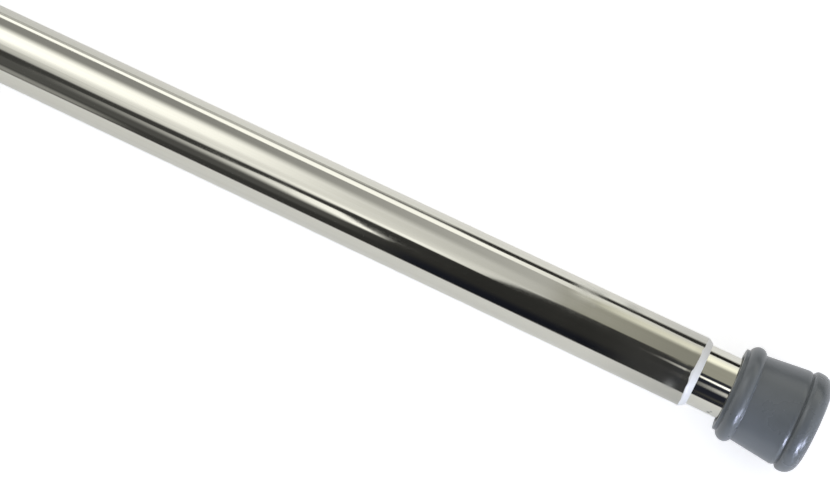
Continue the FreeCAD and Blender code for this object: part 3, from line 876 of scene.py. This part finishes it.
# Panels round the rod, seen only in gloss. Each is an arc about the rod: how far off it is; its left and
# its right end, as the place along the rod in metres, the angles up from the near horizon between which
# it reaches and how bright it is; the soft share of its ends, its lower and its upper edge; and its tint
# where it isn't neutral
NEUTRAL = "#FFFFFF"
WARM = "#FFFEF2"
COLD = "#C4D0FF"
SKY = "#DAE1FF"
PANELS = [
    ("near_dark_left", 1.20, (-1.6, -3.0, 61.0, 0.09), (-0.20, -3.0, 64.0, 0.055), (0.0, 0.0, 0.10)),
    ("near_dark_slope", 1.20, (-0.20, -3.0, 64.0, 0.055), (0.05, -3.0, 71.0, 0.04), (0.0, 0.0, 0.10)),
    ("near_dark_middle", 1.20, (0.05, -3.0, 69.5, 0.04), (0.20, -3.0, 69.3, 0.03), (0.0, 0.0, 0.04)),
    ("near_dark_rise", 1.20, (0.20, -3.0, 69.3, 0.03), (0.235, -3.0, 85.0, 0.032), (0.0, 0.0, 0.06)),
    ("near_dark_top", 1.20, (0.235, -3.0, 85.0, 0.032), (0.285, -3.0, 90.5, 0.032), (0.0, 0.0, 0.05)),
    ("near_dark_right", 1.20, (0.285, -3.0, 90.5, 0.030), (0.395, -3.0, 91.0, 0.033), (0.0, 0.0, 0.05)),
    ("near_dark_end", 1.20, (0.395, -3.0, 86.0, 0.032), (1.4, -3.0, 86.0, 0.09), (0.0, 0.0, 0.05), COLD),
    ("near_deep", 1.19, (0.10, -3.0, 34.0, 0.024), (0.36, -3.0, 36.0, 0.016), (0.15, 0.0, 0.6), COLD),
    ("near_table_left", 0.19, (-0.9, -5.2, 1.0, 0.40), (0.13, -5.2, 1.0, 0.24), (0.06, 0.3, 0.0)),
    ("near_grey_low", 1.10, (-1.6, -3.0, 28.0, 0.50), (-0.12, -3.0, 15.0, 0.32), (0.05, 0.0, 0.5)),
    ("near_grey_left", 1.12, (-1.6, 2.0, 50.0, 0.15), (0.13, 12.0, 44.0, 0.090), (0.05, 0.3, 0.2)),
    ("near_gleam", 1.00, (-0.20, 29.0, 47.0, 0.08), (-0.03, 32.0, 49.4, 0.60), (0.0, 0.72, 0.15)),
    ("near_gleam_mid", 1.00, (-0.03, 32.0, 49.4, 0.60), (0.04, 29.5, 56.5, 1.15), (0.0, 0.70, 0.12)),
    ("near_gleam_full", 1.00, (0.04, 29.5, 56.5, 1.15), (0.088, 31.0, 57.0, 1.45), (0.0, 0.55, 0.12)),
    ("near_gleam_tip", 1.00, (0.088, 31.0, 57.0, 1.45), (0.125, 37.0, 41.5, 1.5), (0.0, 0.45, 0.1)),
    ("ledge_line", 1.05, (-0.40, 66.0, 78.0, 0.42), (0.22, 69.0, 80.0, 1.45), (0.15, 0.2, 0.4)),
    ("window_pane_left", 0.60, (0.75, 1.0, 29.0, 52.0), (0.895, 1.0, 29.0, 52.0), (0.12, 0.1, 0.25), SKY),
    ("window_pane_right", 0.60, (1.24, -1.5, 26.0, 34.0), (1.60, -1.5, 34.0, 34.0), (0.12, 0.0, 0.25), SKY),
    ("mouth_line", 0.95, (0.369, 68.0, 75.5, 0.02), (0.45, 64.0, 74.0, 2.9), (0.02, 0.3, 0.3)),
    ("mouth_gleam", 0.95, (0.400, 36.0, 55.0, 0.05), (0.45, 36.0, 57.0, 1.2), (0.0, 0.5, 0.3)),
    ("mouth_low_gleam", 0.95, (0.400, 4.0, 22.0, 0.05), (0.50, 4.0, 22.0, 0.12), (0.0, 0.5, 0.5)),
    ("ceiling_low_left", 1.22, (-1.6, 50.0, 81.0, 0.58), (-0.28, 50.0, 81.0, 0.57), (0.0, 0.0, 0.6)),
    ("ceiling_low_slope", 1.22, (-0.28, 50.0, 81.0, 0.57), (-0.08, 50.0, 81.0, 0.94), (0.0, 0.0, 0.6)),
    ("ceiling_plain", 1.26, (0.0, 66.0, 100.0, 0.98), (0.30, 66.0, 100.0, 0.84), (0.0, 0.0, 0.3)),
    ("ceiling_left", 1.25, (-1.6, 80.0, 141.0, 2.7), (-0.10, 80.0, 138.5, 1.40), (0.0, 0.3, 0.45)),
    ("ceiling_middle", 1.25, (-0.10, 80.0, 138.5, 1.40), (0.05, 80.0, 135.0, 0.90), (0.0, 0.3, 0.45)),
    ("ceiling_right", 1.25, (0.05, 80.0, 135.0, 0.90), (0.30, 80.0, 126.0, 0.58), (0.0, 0.3, 0.45)),
    ("ceiling_shade_right", 1.23, (0.25, 60.0, 150.0, 0.39), (1.4, 60.0, 150.0, 0.5), (0.03, 0, 0), WARM),
    ("far_grey_left", 1.27, (-1.6, 98.0, 166.0, 0.31), (-0.10, 98.0, 162.0, 0.33), (0.0, 0.0, 0.0)),
    ("far_grey_middle", 1.27, (-0.10, 98.0, 162.0, 0.33), (0.32, 98.0, 156.0, 0.62), (0.0, 0.0, 0.0)),
    ("far_window_left", 1.10, (-1.6, 160.5, 174.5, 1.6), (-0.16, 159.8, 172.8, 1.5), (0.0, 0.15, 0.15)),
    ("far_window_slope", 1.10, (-0.16, 159.8, 172.8, 1.5), (0.0, 153.5, 172.0, 1.4), (0.0, 0.15, 0.15)),
    ("far_window_middle", 1.10, (0.0, 153.5, 172.0, 1.4), (0.20, 151.0, 167.3, 1.35), (0.0, 0.15, 0.1)),
    ("far_window_end", 1.10, (0.20, 151.0, 167.3, 1.35), (0.31, 149.0, 171.0, 0.85), (0.0, 0.15, 0.15)),
    ("far_window_right", 1.09, (0.29, 128, 168, 0.6), (0.43, 126, 166, 1.62), (0.2, 0.4, 0.55), WARM),
    ("far_window_mouth", 1.08, (0.40, 126.0, 166.0, 1.35), (1.4, 126.0, 166.0, 1.5), (0.0, 0.4, 0.55), WARM),
    ("far_dark_left", 1.05, (-1.6, 174.0, 179.2, 0.62), (0.0, 172.0, 179.2, 0.52), (0.0, 0.2, 0.1)),
    ("far_dark_middle", 1.05, (0.0, 172.0, 179.2, 0.50), (0.17, 169.5, 179.2, 0.12), (0.0, 0.2, 0.1)),
    ("far_dark_step", 1.05, (0.17, 169.5, 180.5, 0.12), (0.205, 165.5, 180.8, 0.03), (0.0, 0.1, 0.0)),
    ("far_dark_right", 1.05, (0.205, 165.5, 180.8, 0.03), (0.34, 168.0, 180.0, 0.04), (0.0, 0.1, 0.0)),
    ("far_dark_mouth", 1.05, (0.34, 168.0, 180.0, 0.04), (0.395, 163.5, 179.5, 0.02), (0.0, 0.1, 0.0)),
    ("far_dark_end", 1.05, (0.395, 163.5, 179.5, 0.02), (1.4, 163.0, 179.5, 0.02), (0.0, 0.1, 0.0)),
]
DEGREES_A_STEP = 3.0

# How bright the room is as a light, and how bright as it is seen or mirrored
ROOM_LIGHT = 0.7
ROOM_SEEN = 1.0

# The lamps: place, width, power and tint. They face the shown end of the narrow tube
LAMPS = [
    ("window", (1.08, -0.60, 0.07), 0.44, 4.3, "#D9E4FF"),
    ("window_glow", (1.02, -0.75, 0.16), 1.1, 4.0, "#C0CFFF"),
]
LAMPS_FACE = Vector((0.38, 0.0, 0.0))


def panel(name, far, left, right, soft, tint=NEUTRAL):
    """One panel: an arc about the rod, with faded ends and edges."""
    left_place, left_low, left_high, bright_left = left
    right_place, right_low, right_high, bright_right = right
    soft_ends, soft_low, soft_high = soft
    steps = math.ceil(max(left_high - left_low, right_high - right_low) / DEGREES_A_STEP)
    mesh_data = bmesh.new()
    mesh_data.loops.layers.uv.verify()
    made = bmesh.ops.create_grid(mesh_data, x_segments=1, y_segments=steps, size=1.0, calc_uvs=True)
    for vertex in made["verts"]:
        on_left = vertex.co.x < 0
        low, high = (left_low, left_high) if on_left else (right_low, right_high)
        angle = math.radians(low + (high - low) * (vertex.co.y + 1) / 2)
        place = left_place if on_left else right_place
        vertex.co = Vector((place, -far * math.cos(angle), far * math.sin(angle)))
    mesh = bpy.data.meshes.new(name)
    mesh_data.to_mesh(mesh)
    mesh_data.free()
    material, tree = new_material(name)
    layout = add(tree, "ShaderNodeTexCoord").outputs["UV"]
    uv = add(tree, "ShaderNodeSeparateXYZ", {"Vector": layout}).outputs
    cover = 1.0
    for axis, start, soft_share in (
        (uv["X"], 0.0, soft_ends),
        (uv["X"], 1.0, soft_ends),
        (uv["Y"], 0.0, soft_low),
        (uv["Y"], 1.0, soft_high),
    ):
        if soft_share > 0:
            full_from = abs(start - soft_share)
            fade = add(
                tree,
                "ShaderNodeMapRange",
                {"Value": axis, "From Min": start, "From Max": full_from},
                interpolation_type="SMOOTHSTEP",
            ).outputs[0]
            cover = add(tree, "ShaderNodeMath", {0: cover, 1: fade}, operation="MULTIPLY").outputs[0]
    bright = add(
        tree, "ShaderNodeMapRange", {"Value": uv["X"], "To Min": bright_left, "To Max": bright_right}
    ).outputs[0]
    glow = add(tree, "ShaderNodeEmission", {"Color": colour(tint), "Strength": bright})
    clear = add(tree, "ShaderNodeBsdfTransparent")
    close(
        material,
        add(tree, "ShaderNodeMixShader", {"Fac": cover, 1: clear.outputs[0], 2: glow.outputs[0]}),
    )
    mesh.materials.append(material)
    board = bpy.data.objects.new(name, mesh)
    bpy.context.scene.collection.objects.link(board)
    board.visible_camera = False
    board.visible_diffuse = False
    board.visible_shadow = False
    board.visible_transmission = False


def room():
    """An evenly lit white room."""
    world = bpy.data.worlds.new("white_room")
    bpy.context.scene.world = world
    world.use_nodes = True
    tree = world.node_tree
    tree.nodes.clear()
    seen = add(tree, "ShaderNodeLightPath").outputs
    shown = add(
        tree, "ShaderNodeMath", {0: seen["Is Camera Ray"], 1: seen["Is Glossy Ray"]}, operation="MAXIMUM"
    ).outputs[0]
    strength = add(
        tree, "ShaderNodeMapRange", {"Value": shown, "To Min": ROOM_LIGHT, "To Max": ROOM_SEEN}
    ).outputs[0]
    light = add(tree, "ShaderNodeBackground", {"Color": colour("#FFFFFF"), "Strength": strength})
    add(tree, "ShaderNodeOutputWorld", {"Surface": light.outputs[0]})


def lamp(name, place, size, power, tint):
    """A soft square lamp at the window. The window panes take its place in gloss."""
    data = bpy.data.lights.new(name, "AREA")
    data.size = size
    data.energy = power
    data.color = colour(tint)[:3]
    light = bpy.data.objects.new(name, data)
    bpy.context.scene.collection.objects.link(light)
    light.location = place
    light.rotation_mode = "QUATERNION"
    light.rotation_quaternion = (LAMPS_FACE - Vector(place)).to_track_quat("-Z", "Y")
    light.visible_glossy = False


floor()
room()
for settings in PANELS:
    panel(*settings)
for settings in LAMPS:
    lamp(*settings)

bpy.context.scene.view_settings.view_transform = "Standard"
